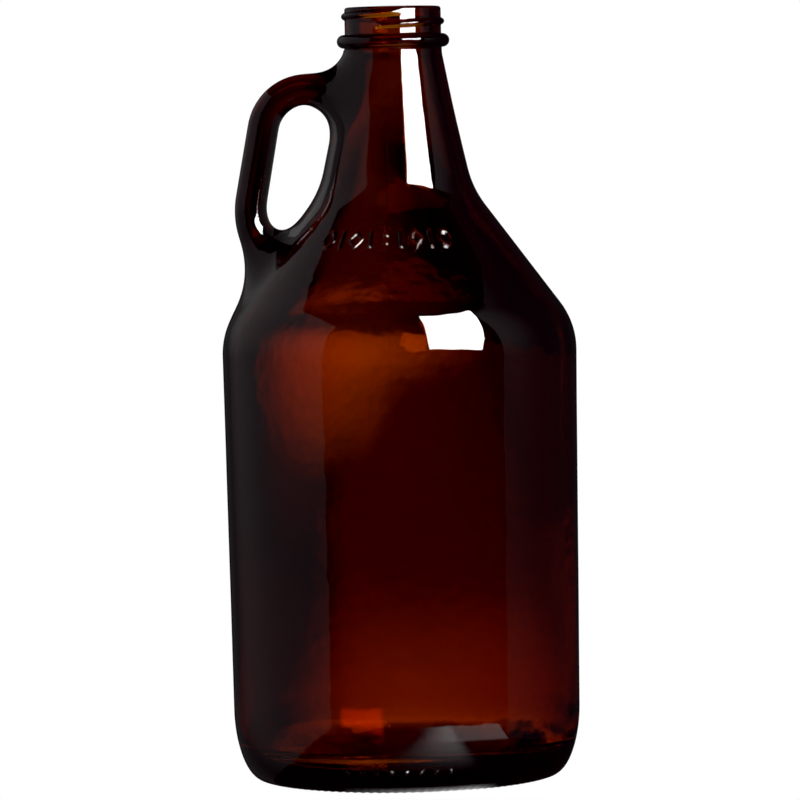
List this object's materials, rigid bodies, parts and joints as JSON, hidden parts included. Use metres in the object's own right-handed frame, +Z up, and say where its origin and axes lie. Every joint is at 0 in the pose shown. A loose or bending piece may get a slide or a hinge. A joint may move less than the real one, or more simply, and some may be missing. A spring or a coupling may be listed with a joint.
{
  "type": "growler",
  "caption": "Amber glass growler jug: straight round body, conical shoulder, tapering neck, finger-loop handle on one side and a threaded mouth with a transfer bead.",
  "frame": {"origin": "on the jug's axis, in the plane of the bearing ring that it stands on", "axes": "+Z up along the jug's axis; the handle lies in the XZ plane on the -X side; the front, which carries the raised marks, faces -Y"},
  "size_m": [0.127, 0.127, 0.276],
  "materials": {
    "amber_glass": "glossy dark amber container glass"
  },
  "bodies": {
    "root": {"base": "amber_glass", "heel": "amber_glass", "sidewall": "amber_glass", "shoulder": "amber_glass", "neck": "amber_glass", "transfer_bead": "amber_glass", "threaded_finish": "amber_glass", "handle": "amber_glass"}
  },
  "joints": []
}
